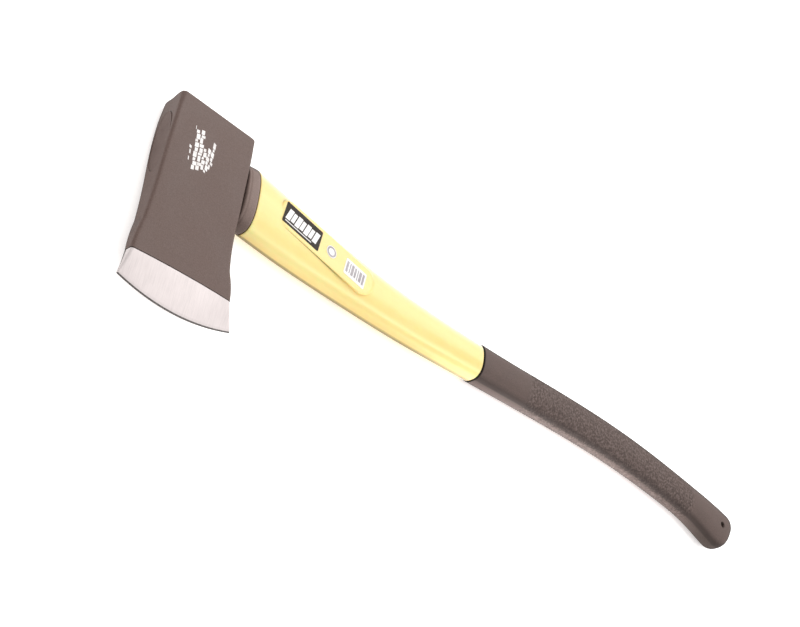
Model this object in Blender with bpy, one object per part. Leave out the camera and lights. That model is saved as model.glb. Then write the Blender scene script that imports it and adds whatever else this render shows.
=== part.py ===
# Fire axe: single-bit, flat-poll head on a curved composite handle.
# Lies on its side: +X runs along the handle from the head to the butt,
# +Y points to the poll, -Y to the cutting edge, +Z out of the upper cheek.
# Origin: middle of the poll's flat striking face, in the head's mid-plane.
# The dimensions below are taken from the middle of the eye, which an empty
# places POLL_Y below the origin. Units: metres; the constants are in mm.
import bpy
import bmesh
import math
import numpy as np
from mathutils import Vector

MM = 0.001
GAP = 0.3                     # clearance between neighbouring pieces
SHARP_ANGLE = 0.6             # edges steeper than this stay sharp, radians
HEAD_SHARP_ANGLE = 0.45

# --------------------------------------------------------------------- head
POLL_Y = 51.5                 # flat striking face of the poll
HEAD_HALF_T = 13.0            # half thickness of the poll and the eye walls
POLL_CHAMFER = 1.6
CHEEK_EDGE_R = 2.6            # rounding of the long cheek edges
MAX_EDGE_SHARE = 0.9          # most of the half thickness a rounding may take
# sides of the head towards -X (crown) and +X (heel): (y, x)
CROWN_SIDE = [(POLL_Y, -40.7), (20, -43.2), (-8, -45.0), (-42, -45.9),
              (-72, -47.7), (-104, -51.3), (-136, -57.6)]
HEEL_SIDE = [(POLL_Y, 41.0), (30, 40.3), (0, 39.9), (-30, 39.8), (-48, 39.7),
             (-62, 40.5), (-76, 42.3), (-90, 45.2), (-106, 49.6), (-129, 58.4)]
# cheeks, flat by the poll and then tapering: (y, half thickness)
CHEEK_TAPER = [(52, HEAD_HALF_T), (36, HEAD_HALF_T), (26, HEAD_HALF_T), (10, 12.75),
               (-4, 12.1), (-24, 10.95), (-44, 9.6), (-64, 8.2), (-84, 6.85),
               (-108, 5.25)]
EDGE_CROWN = (-57.2, -136.3)  # corner of the cutting edge at the crown: x, y
EDGE_HEEL = (57.0, -128.6)    # corner of the cutting edge at the heel
EDGE_BOW = 9.4                # bow of the cutting edge
EDGE_HALF_T = 0.16            # half the land left on the cutting edge
BEVEL_CROWN = (-52.2, -111.2) # ends of the line where the grinding starts
BEVEL_HEEL = (49.4, -105.6)
BEVEL_BOW = -1.2
BEVEL_HALF_T = 5.2            # half thickness on that line
CHEEK_LEVELS = (30, 12, -4, -18, -34, -50, -64, -78, -92)  # y of the sections
BEVEL_LEVELS = (0.0, 0.5, 1.0)  # shares of the way from bevel line to edge
HEAD_COLUMNS = 9              # points across a cheek, crown to heel
CORNER_STEPS = 2              # segments in a rounded cheek edge

# ---------------------------------------------------------------------- eye
# sizes of ovals are (width along Y, thickness along Z)
EYE_HEEL = (58.4, 17.2)       # eye at the heel face
EYE_CROWN = (62.4, 18.6)      # at the crown: wider, so the resin wedges
EYE_X0, EYE_X1 = -45.0, 40.0
EYE_POWER = 2.3               # roundness exponent of the eye
EYE_COUNT = 36                # points round an eye section
CUTTER_OVERRUN = 12.0         # the cutter passes both faces by this much
TENON = (53.0, 13.6)          # the jacket inside the eye
TENON_X0 = -38.5
TENON_CHAMFER = 0.8
CAP_FACE_X = -43.6            # outer face of the crown cap at y = 0
CAP_FACE_LEAN = 0.036         # its change of x with y
CAP_CHAMFER = 0.7
DAM_X0, DAM_X1 = 31.0, 39.0   # gasket at the bottom of the eye

# ------------------------------------------------------------------- collar
COLLAR_X0, COLLAR_X1 = 40.8, 52.0
COLLAR = (62.8, 30.6)
COLLAR_COUNT = 40
# rounding of both rims: (distance from the end face, inset)
COLLAR_RIM = [(0.0, 2.0), (1.2, 0.4), (3.0, 0.0)]

# ------------------------------------------------------------------- handle
SHOULDER_X = COLLAR_X1 + GAP  # where the jacket widens under the collar
SHOULDER_CHAMFER = 1.2
GRIP_X = 347.0                # mouth of the grip
BUTT_X = 773.5                # end of the handle on its centreline
SECTION_POWER = 2.5           # roundness exponent of the handle's sections
# centreline of the curved handle: (x, y)
CENTRE = [(EYE_X1, 0.0), (75, -3.8), (150, -9.3), (225, -11.2),
          (310, -7.9), (415, -0.3), (500, 5.9), (582, 8.6), (660, 6.1),
          (720, 0.5), (BUTT_X, -10.1)]
# visible section of the jacket: (x, width, thickness)
JACKET = [(COLLAR_X1, 66.6, 29.6), (100, 61.4, 29.4), (150, 54.2, 29.0),
          (200, 47.8, 28.7), (250, 43.8, 28.4), (300, 40.7, 28.1), (350, 38.2, 28.0)]
# outside of the grip: (x, width, thickness)
GRIP = [(GRIP_X, 39.6, 29.4), (380, 38.8, 28.9), (450, 38.5, 28.9),
        (550, 38.3, 28.9), (650, 38.0, 28.8), (700, 38.8, 29.0),
        (735, 42.0, 30.0), (755, 43.6, 30.6), (BUTT_X, 43.8, 30.6)]
TILT_X0, TILT_X1 = 690.0, 765.0  # the sections come to lean between these
TILT_SLOPE = 0.5              # full lean: change of x with y
GRIP_WALL = 3.2               # rubber thickness over the jacket
GRIP_MOUTH_INSET = 0.6        # small bevel round the mouth of the grip
GRIP_MOUTH_LENGTH = 0.7
BUTT_ROUND = 15.0             # length over which the knob rounds off
BUTT_END_SHARE = 0.5          # size left on the end of the dome
BUTT_STEPS = 6
JACKET_END_X = 744.0          # the knob beyond it is solid rubber
TIP_LENGTH = 6.0              # rounded far end of the jacket
# (distance from the start of that rounding, share of the full section)
JACKET_TIP = [(3.6, 0.9), (TIP_LENGTH, 0.68)]
CORE = (24.0, 10.0)           # glass-fibre bar
CORE_X0, CORE_X1 = -37.9, 722.0
CORE_POWER = 2.2
CORE_COUNT = 20
CORE_END_LENGTH = 1.0         # the bar narrows over this length at its ends
CORE_END_SHARE = 0.86
BORE_END_ROOM = 0.4           # room past the core's end, on top of GAP
HANG_HOLE_X, HANG_HOLE_Y, HANG_HOLE_R = 752.3, -6.5, 2.8
HANG_CUTTER_LENGTH = 60.0

# -------------------------------------------------------- label pad, labels
PAD_ROOT_Z = 7.0              # the pads start inside the jacket
PAD_Z = 15.0                  # flat top of the raised label pad
PAD_X0, PAD_X1 = 78.0, 194.0
PAD_LOW = (-13.0, -0.147)     # edge on the -Y side: y at PAD_X0, slope
PAD_HIGH = (16.2, -0.135)     # edge on the +Y side
# corners in order round the pad: (x, edge, radius)
PAD_CORNERS = [(PAD_X0, PAD_LOW, 8.0), (PAD_X1, PAD_LOW, 15.0),
               (PAD_X1, PAD_HIGH, 12.0), (PAD_X0, PAD_HIGH, 9.0)]
PAD_CORNER_STEPS = 5
LABEL_T = 0.24
LABEL_TURN = -8.8             # degrees about Z
LABEL_CORNER_R = 1.2
LABEL_CORNER_STEPS = 3
MAIN_LABEL = (103.4, -1.4, 44.2, 21.8)           # x, y, length, width
BAR_STICKER = (169.6, -11.8, 26.0, 17.0)
ROUND_STICKER = (139.4, -6.6, 11.8)              # x, y, diameter
ROUND_COUNT = 28


# ================================================================= measures
def natural_cubic(table):
    """Natural cubic through (x, value) pairs; the end values hold beyond."""
    knots, values = np.array(sorted(table), dtype=float).T
    spans = np.diff(knots)
    slopes = np.diff(values) / spans
    count = len(knots)
    system = np.eye(count)
    load = np.zeros(count)
    for i in range(1, count - 1):
        system[i, i - 1:i + 2] = spans[i - 1], 2 * (spans[i - 1] + spans[i]), spans[i]
        load[i] = 6 * (slopes[i] - slopes[i - 1])
    bends = np.linalg.solve(system, load)              # second derivatives

    def value(x):
        x = min(max(x, knots[0]), knots[-1])
        i = min(int(np.searchsorted(knots, x, side='right')) - 1, count - 2)
        span, ahead, behind = spans[i], knots[i + 1] - x, x - knots[i]
        return float(
            (bends[i] * ahead ** 3 + bends[i + 1] * behind ** 3) / (6 * span)
            + (values[i] / span - bends[i] * span / 6) * ahead
            + (values[i + 1] / span - bends[i + 1] * span / 6) * behind)
    return value


def size_curve(table):
    """Function giving (width, thickness) at x from (x, width, thickness) rows."""
    width = natural_cubic([(x, w) for x, w, _ in table])
    thickness = natural_cubic([(x, t) for x, _, t in table])
    return lambda x: (width(x), thickness(x))


centre_y = natural_cubic(CENTRE)
crown_x = natural_cubic(CROWN_SIDE)
heel_x = natural_cubic(HEEL_SIDE)
cheek_taper = natural_cubic(CHEEK_TAPER)
jacket_size = size_curve(JACKET)
grip_size = size_curve(GRIP)


def lerp(a, b, share):
    return a + (b - a) * share


def spaced(start, stop, steps):
    """Evenly spaced values, both ends included."""
    return [lerp(start, stop, k / steps) for k in range(steps + 1)]


def grown(size, margin):
    """Size with a margin added all round; a negative margin shrinks it."""
    return size[0] + 2 * margin, size[1] + 2 * margin


def scaled(size, share):
    return size[0] * share, size[1] * share


def under_grip(x):
    """Size of the jacket under the rubber."""
    return grown(grip_size(x), -GRIP_WALL)


# ================================================================= sections
def oval(x, middle_y, size, power, count):
    """Closed superellipse section at x; the knob's sections lean."""
    share = min(max((x - TILT_X0) / (TILT_X1 - TILT_X0), 0.0), 1.0)
    lean = TILT_SLOPE * share * share * (3 - 2 * share)
    points = []
    for i in range(count):
        angle = 2 * math.pi * (i + 0.5) / count
        cosine, sine = math.cos(angle), math.sin(angle)
        y = 0.5 * size[0] * math.copysign(abs(cosine) ** (2 / power), cosine)
        z = 0.5 * size[1] * math.copysign(abs(sine) ** (2 / power), sine)
        points.append((x + lean * y, middle_y + y, z))
    return points


def handle_oval(x, size, power=SECTION_POWER, count=32):
    """Section centred on the handle's centreline."""
    return oval(x, centre_y(x), size, power, count)


def eye_section(x, inset=0.0):
    """Section of the tapering eye, drawn in by inset."""
    share = (x - EYE_X0) / (EYE_X1 - EYE_X0)
    size = [lerp(crown, heel, share) for crown, heel in zip(EYE_CROWN, EYE_HEEL)]
    return oval(x, 0, grown(size, -inset), EYE_POWER, EYE_COUNT)


# ============================================================ scene helpers
def material(name, colour, roughness, metallic=0.0):
    mat = bpy.data.materials.new(name)
    mat.use_nodes = True
    shader = mat.node_tree.nodes["Principled BSDF"]
    shader.inputs["Base Color"].default_value = (*colour, 1.0)
    shader.inputs["Roughness"].default_value = roughness
    shader.inputs["Metallic"].default_value = metallic
    return mat


def clear_scene():
    for obj in list(bpy.data.objects):
        bpy.data.objects.remove(obj, do_unlink=True)
    for col in list(bpy.data.collections):
        bpy.data.collections.remove(col)


def make_collection(name):
    col = bpy.data.collections.new(name)
    bpy.context.scene.collection.children.link(col)
    return col


def object_from_bmesh(bm, name, col, mat=None, sharp=SHARP_ANGLE):
    bmesh.ops.recalc_face_normals(bm, faces=bm.faces)
    mesh = bpy.data.meshes.new(name)
    bm.to_mesh(mesh)
    bm.free()
    mesh.shade_smooth()
    mesh.set_sharp_from_angle(angle=sharp)
    if mat:
        mesh.materials.append(mat)
    obj = bpy.data.objects.new(name, mesh)
    col.objects.link(obj)
    return obj


def skin(bm, rings, closed=False):
    """Join neighbouring rings with quads; return their rows of vertices."""
    rows = [[bm.verts.new(Vector(point) * MM) for point in ring] for ring in rings]
    pairs = list(zip(rows[:-1], rows[1:]))
    if closed:
        pairs.append((rows[-1], rows[0]))
    count = len(rows[0])
    for low, high in pairs:
        for i in range(count):
            j = (i + 1) % count
            bm.faces.new((low[i], low[j], high[j], high[i]))
    return rows


def loft(name, rings, col, mat=None, closed=False):
    """Skin a list of sections; the ends are capped unless the path closes."""
    bm = bmesh.new()
    rows = skin(bm, rings, closed)
    if not closed:
        bm.faces.new(list(reversed(rows[0])))
        bm.faces.new(rows[-1])
    return object_from_bmesh(bm, name, col, mat)


def prism(name, outline, z0, z1, col, mat=None):
    """Flat outline as a filled 2D curve, extruded, then turned into a mesh."""
    curve = bpy.data.curves.new(name, 'CURVE')
    curve.dimensions = '2D'
    curve.fill_mode = 'BOTH'
    curve.extrude = 0.5 * (z1 - z0) * MM
    line = curve.splines.new('POLY')
    line.points.add(len(outline) - 1)
    for point, (x, y) in zip(line.points, outline):
        point.co = (x * MM, y * MM, 0.0, 1.0)
    line.use_cyclic_u = True
    temp = bpy.data.objects.new(name + "_curve", curve)
    col.objects.link(temp)
    bpy.context.view_layer.update()
    graph = bpy.context.evaluated_depsgraph_get()
    mesh = bpy.data.meshes.new_from_object(temp.evaluated_get(graph))
    bpy.data.objects.remove(temp, do_unlink=True)
    bm = bmesh.new()
    bm.from_mesh(mesh)
    bpy.data.meshes.remove(mesh)
    # the fill and the extruded sides come unjoined
    bmesh.ops.remove_doubles(bm, verts=bm.verts, dist=0.005 * MM)
    obj = object_from_bmesh(bm, name, col, mat)
    obj.location.z = 0.5 * (z0 + z1) * MM
    return obj


def add_boolean(target, guide, operation='DIFFERENCE'):
    """Cut or join a hidden guide object into the target."""
    guide.hide_render = True
    guide.display_type = 'WIRE'
    mod = target.modifiers.new(operation.title(), 'BOOLEAN')
    mod.operation = operation
    mod.object = guide
    mod.solver = 'EXACT'


# ===================================================================== head
def cheek_stations(y, inset=0.0):
    """(x, y, half thickness) from crown to heel across the head at y."""
    half_t = min(cheek_taper(y), HEAD_HALF_T) - inset
    return [(x, y, half_t) for x in
            spaced(crown_x(y) + inset, heel_x(y) - inset, HEAD_COLUMNS - 1)]


def bowed_line(crown_end, heel_end, bow, share):
    """Point on a bowed line; a positive bow bulges to -Y."""
    x = lerp(crown_end[0], heel_end[0], share)
    y = lerp(crown_end[1], heel_end[1], share) - bow * (1 - (2 * share - 1) ** 2)
    return x, y


def bevel_stations(level):
    """The same across the bevel: level 0 is its start, 1 the cutting edge."""
    half_t = lerp(BEVEL_HALF_T, EDGE_HALF_T, level)
    stations = []
    for share in spaced(0.0, 1.0, HEAD_COLUMNS - 1):
        bevel_x, bevel_y = bowed_line(BEVEL_CROWN, BEVEL_HEEL, BEVEL_BOW, share)
        edge_x, edge_y = bowed_line(EDGE_CROWN, EDGE_HEEL, EDGE_BOW, share)
        stations.append((lerp(bevel_x, edge_x, level), lerp(bevel_y, edge_y, level),
                         half_t))
    return stations


def cheek_corner(station, x_side, z_side):
    """Rounded corner of a section, from the cheek round to the side."""
    x, y, half_t = station
    radius = min(CHEEK_EDGE_R, MAX_EDGE_SHARE * half_t)
    return [(x + x_side * radius * (math.sin(angle) - 1), y,
             z_side * (half_t - radius + radius * math.cos(angle)))
            for angle in spaced(0.0, math.pi / 2, CORNER_STEPS)]


def head_ring(stations):
    """Closed section: upper cheek, heel side, lower cheek, crown side."""
    crown, *inside, heel = stations
    crown_top = cheek_corner(crown, -1, 1)
    ring = [crown_top[0]]
    ring += inside
    ring += cheek_corner(heel, 1, 1)
    ring += reversed(cheek_corner(heel, 1, -1))
    ring += [(x, y, -half_t) for x, y, half_t in reversed(inside)]
    ring += cheek_corner(crown, -1, -1)
    ring += reversed(crown_top[1:])
    return ring


def close_cutting_edge(bm, edge):
    """Quads between the two cheeks of the last ring, and its rounded ends."""
    heel_low = HEAD_COLUMNS + 2 * CORNER_STEPS         # lower cheek, heel end
    crown_low = heel_low + HEAD_COLUMNS - 1            # lower cheek, crown end
    for i in range(HEAD_COLUMNS - 1):
        bm.faces.new((edge[i], edge[i + 1], edge[crown_low - i - 1], edge[crown_low - i]))
    bm.faces.new(edge[HEAD_COLUMNS - 1:heel_low + 1])
    bm.faces.new(edge[crown_low:] + [edge[0]])


def build_head(col, guides):
    paint = material("head_paint", colour=(0.060, 0.050, 0.047),
                     roughness=0.48, metallic=0.2)
    levels = [cheek_stations(POLL_Y, POLL_CHAMFER), cheek_stations(POLL_Y - POLL_CHAMFER)]
    levels += [cheek_stations(y) for y in CHEEK_LEVELS]
    levels += [bevel_stations(level) for level in BEVEL_LEVELS]
    bm = bmesh.new()
    rows = skin(bm, [head_ring(stations) for stations in levels])
    bm.faces.new(list(reversed(rows[0])))              # poll face
    close_cutting_edge(bm, rows[-1])
    head = object_from_bmesh(bm, "axe_head", col, paint, sharp=HEAD_SHARP_ANGLE)
    eye = [eye_section(x) for x in (EYE_X0 - CUTTER_OVERRUN, EYE_X1 + CUTTER_OVERRUN)]
    add_boolean(head, loft("eye_cutter", eye, guides))


# ================================================================= eye fill
def eye_filler(name, x0, x1, col, mat):
    """Ring that fills the eye round the tenon from x0 to x1."""
    rings = [eye_section(x, GAP) for x in (x0, x1)]
    rings += [handle_oval(x, grown(TENON, GAP), EYE_POWER, EYE_COUNT) for x in (x1, x0)]
    loft(name, rings, col, mat, closed=True)


def build_resin(col):
    resin = material("resin_amber", colour=(0.42, 0.30, 0.12), roughness=0.3)
    eye_filler("eye_resin", TENON_X0, DAM_X0 - GAP, col, resin)


def build_dam(col):
    foam = material("dam_foam", colour=(0.3, 0.3, 0.3), roughness=0.9)
    eye_filler("resin_dam", DAM_X0, DAM_X1, col, foam)


def build_crown_cap(col):
    """Plug that closes the crown, with a leaning, chamfered outer face."""
    resin = material("cap_resin", colour=(0.07, 0.06, 0.055), roughness=0.4)
    rings = []
    for depth, inset in ((0.0, GAP + CAP_CHAMFER), (CAP_CHAMFER, GAP)):
        rings.append([(x + CAP_FACE_LEAN * y + depth, y, z)
                      for x, y, z in eye_section(CAP_FACE_X, inset)])
    rings.append(eye_section(TENON_X0 - GAP, GAP))
    loft("crown_cap", rings, col, resin)


# =================================================================== handle
def build_collar(col):
    black = material("collar_black", colour=(0.05, 0.043, 0.041), roughness=0.55)
    rims = [(COLLAR_X0 + depth, inset) for depth, inset in COLLAR_RIM]
    rims += [(COLLAR_X1 - depth, inset) for depth, inset in reversed(COLLAR_RIM)]
    outside = [handle_oval(x, grown(COLLAR, -inset), count=COLLAR_COUNT)
               for x, inset in rims]
    hole_start, hole_end = [handle_oval(x, grown(TENON, GAP), EYE_POWER, COLLAR_COUNT)
                            for x in (COLLAR_X0, COLLAR_X1)]
    loft("overstrike_collar", [hole_start, *outside, hole_end], col, black, closed=True)


def build_core(col):
    glass = material("glass_fibre", colour=(0.75, 0.72, 0.58), roughness=0.5)
    stations = [(CORE_X0, CORE_END_SHARE)]
    stations += [(x, 1.0) for x in
                 spaced(CORE_X0 + CORE_END_LENGTH, CORE_X1 - CORE_END_LENGTH, 20)]
    stations.append((CORE_X1, CORE_END_SHARE))
    rings = [handle_oval(x, scaled(CORE, share), CORE_POWER, CORE_COUNT)
             for x, share in stations]
    loft("fibreglass_core", rings, col, glass)


def pad_outline():
    """Rounded outline of the raised label pad."""
    corners = [Vector((x, y0 + slope * (x - PAD_X0)))
               for x, (y0, slope), _ in PAD_CORNERS]
    points = []
    for k, corner in enumerate(corners):
        radius = PAD_CORNERS[k][2]
        before = (corners[k - 1] - corner).normalized()
        after = (corners[(k + 1) % len(corners)] - corner).normalized()
        half_angle = before.angle(after) / 2
        reach = radius / math.tan(half_angle)          # corner to tangent point
        middle = corner + (before + after).normalized() * (radius / math.sin(half_angle))
        start = corner + before * reach - middle
        stop = corner + after * reach - middle
        for share in spaced(0.0, 1.0, PAD_CORNER_STEPS):
            arm = start.slerp(stop, share).normalized() * radius
            points.append((middle.x + arm.x, middle.y + arm.y))
    return points


def jacket_rings():
    """Sections from the blind end of the bore, out and back along the outside."""
    bore_end = CORE_X1 + GAP + BORE_END_ROOM
    rings = [handle_oval(x, grown(CORE, GAP), CORE_POWER)
             for x in spaced(bore_end, TENON_X0, 20)]
    rings.append(handle_oval(TENON_X0, grown(TENON, -TENON_CHAMFER), EYE_POWER))
    rings += [handle_oval(x, TENON, EYE_POWER)
              for x in (TENON_X0 + TENON_CHAMFER, 0.0, EYE_X1, SHOULDER_X)]
    rings.append(handle_oval(SHOULDER_X, grown(jacket_size(SHOULDER_X), -SHOULDER_CHAMFER)))
    visible_end = GRIP_X - GAP
    rings += [handle_oval(x, jacket_size(x))
              for x in spaced(SHOULDER_X + SHOULDER_CHAMFER, visible_end, 14)]
    tip_x = JACKET_END_X - TIP_LENGTH
    rings += [handle_oval(x, under_grip(x)) for x in spaced(visible_end, tip_x, 20)]
    for distance, share in JACKET_TIP:
        x = tip_x + distance
        rings.append(handle_oval(x, scaled(under_grip(x), share)))
    return rings


def build_jacket(col, guides):
    yellow = material("jacket_yellow", colour=(0.86, 0.68, 0.16), roughness=0.38)
    jacket = loft("handle_jacket", jacket_rings(), col, yellow)
    outline = pad_outline()
    for name, z0, z1 in (("pad_upper", PAD_ROOT_Z, PAD_Z),
                         ("pad_lower", -PAD_Z, -PAD_ROOT_Z)):
        add_boolean(jacket, prism(name, outline, z0, z1, guides), 'UNION')


def grip_rings():
    """Sections from the blind end of the pocket to the mouth, then outside."""
    rings = []
    pocket_tip_x = JACKET_END_X + GAP - TIP_LENGTH
    for distance, share in reversed(JACKET_TIP):
        x = pocket_tip_x + distance
        size = scaled(under_grip(min(x, JACKET_END_X)), share)
        rings.append(handle_oval(x, grown(size, GAP)))
    rings += [handle_oval(x, grown(under_grip(x), GAP))
              for x in spaced(JACKET_END_X - TIP_LENGTH, GRIP_X, 20)]
    rings.append(handle_oval(GRIP_X, grown(grip_size(GRIP_X), -GRIP_MOUTH_INSET)))
    dome_x = BUTT_X - BUTT_ROUND
    rings += [handle_oval(x, grip_size(x))
              for x in spaced(GRIP_X + GRIP_MOUTH_LENGTH, dome_x, 24)]
    for angle in spaced(0.0, math.pi / 2, BUTT_STEPS)[1:]:  # domed butt
        x = dome_x + BUTT_ROUND * math.sin(angle)
        share = lerp(BUTT_END_SHARE, 1.0, math.cos(angle))
        rings.append(handle_oval(x, scaled(grip_size(x), share)))
    return rings


def hang_hole_cutter(guides):
    bm = bmesh.new()
    bmesh.ops.create_cone(bm, cap_ends=True, cap_tris=False, segments=24,
                          radius1=HANG_HOLE_R * MM, radius2=HANG_HOLE_R * MM,
                          depth=HANG_CUTTER_LENGTH * MM)
    bmesh.ops.translate(bm, verts=bm.verts, vec=Vector((HANG_HOLE_X, HANG_HOLE_Y, 0)) * MM)
    return object_from_bmesh(bm, "hang_hole_cutter", guides)


def build_grip(col, guides):
    rubber = material("grip_rubber", colour=(0.045, 0.038, 0.037), roughness=0.7)
    grip = loft("grip_sleeve", grip_rings(), col, rubber)
    add_boolean(grip, hang_hole_cutter(guides))


# =================================================================== labels
def label(name, outline, col, mat):
    """Thin plate lying just above the upper pad."""
    prism(name, outline, PAD_Z + GAP, PAD_Z + GAP + LABEL_T, col, mat)


def plate_outline(x, y, length, width):
    """Turned rectangle with rounded corners, centred on x, y."""
    turn = math.radians(LABEL_TURN)
    points = []
    for x_side, y_side, start in ((1, 1, 0), (-1, 1, 90), (-1, -1, 180), (1, -1, 270)):
        for degrees in spaced(start, start + 90, LABEL_CORNER_STEPS):
            angle = math.radians(degrees)
            along = x_side * (length / 2 - LABEL_CORNER_R) + LABEL_CORNER_R * math.cos(angle)
            across = y_side * (width / 2 - LABEL_CORNER_R) + LABEL_CORNER_R * math.sin(angle)
            points.append((x + along * math.cos(turn) - across * math.sin(turn),
                           y + along * math.sin(turn) + across * math.cos(turn)))
    return points


def circle_outline(x, y, diameter):
    angles = [2 * math.pi * k / ROUND_COUNT for k in range(ROUND_COUNT)]
    return [(x + diameter / 2 * math.cos(angle), y + diameter / 2 * math.sin(angle))
            for angle in angles]


def build_labels(col):
    dark = material("label_dark", colour=(0.03, 0.03, 0.03), roughness=0.4)
    pale = material("sticker_pale", colour=(0.85, 0.85, 0.85), roughness=0.5)
    label("main_label", plate_outline(*MAIN_LABEL), col, dark)
    label("barcode_sticker", plate_outline(*BAR_STICKER), col, pale)
    label("round_sticker", circle_outline(*ROUND_STICKER), col, pale)


# ===================================================================== main
def hang_from_eye(axe, guides):
    """Parent every piece and cutter to an empty in the middle of the eye."""
    eye = bpy.data.objects.new("eye_centre", None)
    eye.empty_display_size = 0.05
    eye.location = (0.0, -POLL_Y * MM, 0.0)
    for col in (axe, guides):
        for obj in col.objects:
            obj.parent = eye
    axe.objects.link(eye)


def main():
    clear_scene()
    axe = make_collection("fire_axe")
    guides = make_collection("cutters")
    build_head(axe, guides)
    build_resin(axe)
    build_dam(axe)
    build_crown_cap(axe)
    build_collar(axe)
    build_core(axe)
    build_jacket(axe, guides)
    build_grip(axe, guides)
    build_labels(axe)
    hang_from_eye(axe, guides)


main()
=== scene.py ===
import math

import bmesh
import bpy
from mathutils import Matrix, Vector


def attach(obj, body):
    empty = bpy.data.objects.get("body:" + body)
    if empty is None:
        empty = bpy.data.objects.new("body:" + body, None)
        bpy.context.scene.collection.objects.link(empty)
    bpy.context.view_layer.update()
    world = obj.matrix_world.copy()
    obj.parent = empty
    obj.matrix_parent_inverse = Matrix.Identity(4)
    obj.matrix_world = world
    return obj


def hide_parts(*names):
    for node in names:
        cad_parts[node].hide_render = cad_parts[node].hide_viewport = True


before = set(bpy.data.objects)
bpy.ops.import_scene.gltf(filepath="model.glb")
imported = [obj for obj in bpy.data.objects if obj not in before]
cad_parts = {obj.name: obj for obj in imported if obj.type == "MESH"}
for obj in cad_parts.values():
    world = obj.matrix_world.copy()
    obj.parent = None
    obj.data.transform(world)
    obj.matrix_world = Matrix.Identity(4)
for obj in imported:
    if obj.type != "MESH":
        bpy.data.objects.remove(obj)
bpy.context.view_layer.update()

MM = 0.001

# ----------------------------------------------------------------- head sizes
POLL_Y = 51.5
EYE_Y = -POLL_Y               # middle of the eye in the frame
POLL_R = 2.0                  # rounding round the poll's face
CHEEK_EDGE_R = 2.6            # long edges of the cheeks
CHEEK_EDGE_GAIN, CHEEK_EDGE_SPAN = 1.0, (30, 49)    # softer over this y near the poll
CORNER_CROWN, CORNER_HEEL = 2.4, 2.2                # upright corners of the poll, in plan
LOW_CROWN = 7.0               # the crown corner down at the lower cheek
LOW_EDGE_GAIN, LOW_EDGE_SPAN = 1.8, (22, 47)        # lower crown edge softens over this y
CHEEK_HALF_MAX = 13.0

# Outlines: y, x of the side.
CROWN_SIDE = [(POLL_Y, -40.7), (20, -43.2), (-8, -45.0), (-42, -45.9),
              (-72, -47.7), (-104, -51.3), (-136, -57.6)]
HEEL_SIDE = [(POLL_Y, 41.0), (30, 40.3), (0, 39.9), (-30, 39.8), (-48, 39.7),
             (-62, 40.5), (-76, 42.3), (-90, 45.2), (-106, 49.6), (-129, 58.4)]
# y, half thickness.
CHEEK_HALF = [(52, 13.0), (36, 13.0), (26, 13.0), (10, 12.75), (-4, 12.1), (-24, 10.95),
              (-44, 9.6), (-64, 8.2), (-84, 6.85), (-108, 5.25)]
# Lines across the bit: crown end, heel end, bow towards -Y at the middle.
EDGE = ((-57.2, -136.3), (57.0, -128.6), 9.4)
BEVEL = ((-52.2, -111.2), (49.4, -105.6), -1.2)
STRAIGHT_END_Y = -80.0        # from here the sections bend to meet the bevel line
LAND = 0.965                  # share of the bit that is ground; the rest is honed
LAND_HALF, TIP_HALF = 0.80, 0.12                    # half thickness: honed land, edge
BELLY = 0.22                  # fullness of the grinding

POLL_STEPS = 5
POLL_ROWS = (0.35, 0.8, 1.4, 2.1, 3.0, 4.2)         # sections just behind the rounding
BODY_ROWS, BEND_ROWS, GROUND_ROWS = 46, 10, 12
LAST_PAINTED = 0.962          # share of the bend where the burnt lip starts
COLUMNS, ARC, SIDE = 49, 5, 8                       # points: cheek, edge arc, side
SIDE_POINTS = 2 * ARC + SIDE - 1

EYE_HEEL, EYE_CROWN = (58.4, 17.2), (62.4, 18.6)    # y, z sizes of the mouths
EYE_POWER = 2.3
LIP_DEPTHS = (None, 0.0, 0.28, 0.62, 1.1)           # None is clear of the head
CROWN_LIP = (0.5, 0.32, 0.16, 0.06, 0.0)            # growth of the eye at those depths
HEEL_LIP = (1.4, 1.0, 0.55, 0.22, 0.0)
EYE_TOOL_X = 60.0

CAP_X, CAP_SLOPE = -43.6, 0.036                     # face of the plug at y = 0, dx/dy
CAP_FACE_GAP, CAP_BACK_GAP = 0.3, 1.0               # taken off the eye's size
# Plug face: share of the size, lift towards the crown. Plug back: share, x.
CAP_FACE = ((0.04, 0.34), (0.2, 0.34), (0.45, 0.36), (0.7, 0.38), (0.88, 0.42),
            (0.95, 0.47), (0.985, 0.54), (1.0, 0.62))
CAP_BACK = ((1.0, -39.4), (0.98, -38.8), (0.5, -38.8), (0.04, -38.8))

# --------------------------------------------------------------- handle sizes
GAP = 0.3                     # clearance between nested pieces
TENON, TENON_X0 = (53.0, 13.6), -38.5
TENON_CHAMFER = 0.8
COLLAR_X0, COLLAR_X1 = 40.8, 52.0
COLLAR_HEAD_END, COLLAR_HANDLE_END = (60.8, 27.2), (66.0, 30.4)
COLLAR_COUNT = 128
# Collar: distance along, taken off each side.
COLLAR_PROFILE = (
    (0.0, 1.5), (0.25, 0.95), (0.7, 0.55), (1.3, 0.42), (2.2, 0.40), (2.6, 0.37),
    (3.0, 0.20), (3.4, 0.06), (4.2, 0.0), (6.0, 0.0), (8.0, 0.0), (10.0, 0.0),
    (11.4, 0.04), (12.0, 0.2), (12.35, 0.5), (12.6, 1.0))
SHOULDER_X, GRIP_X, BUTT_X = 52.3, 347.0, 773.5
RIM_R = 0.9                   # rounding of the shoulder and of the grip's mouth
SECTION_POWER = 2.5
# Centre line: x, y.
CENTRE = [(40, 0.0), (75, -3.8), (150, -9.3), (225, -11.2),
          (310, -7.9), (415, -0.3), (500, 5.9), (582, 8.6), (660, 6.1),
          (720, 0.5), (BUTT_X, -10.1)]
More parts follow.
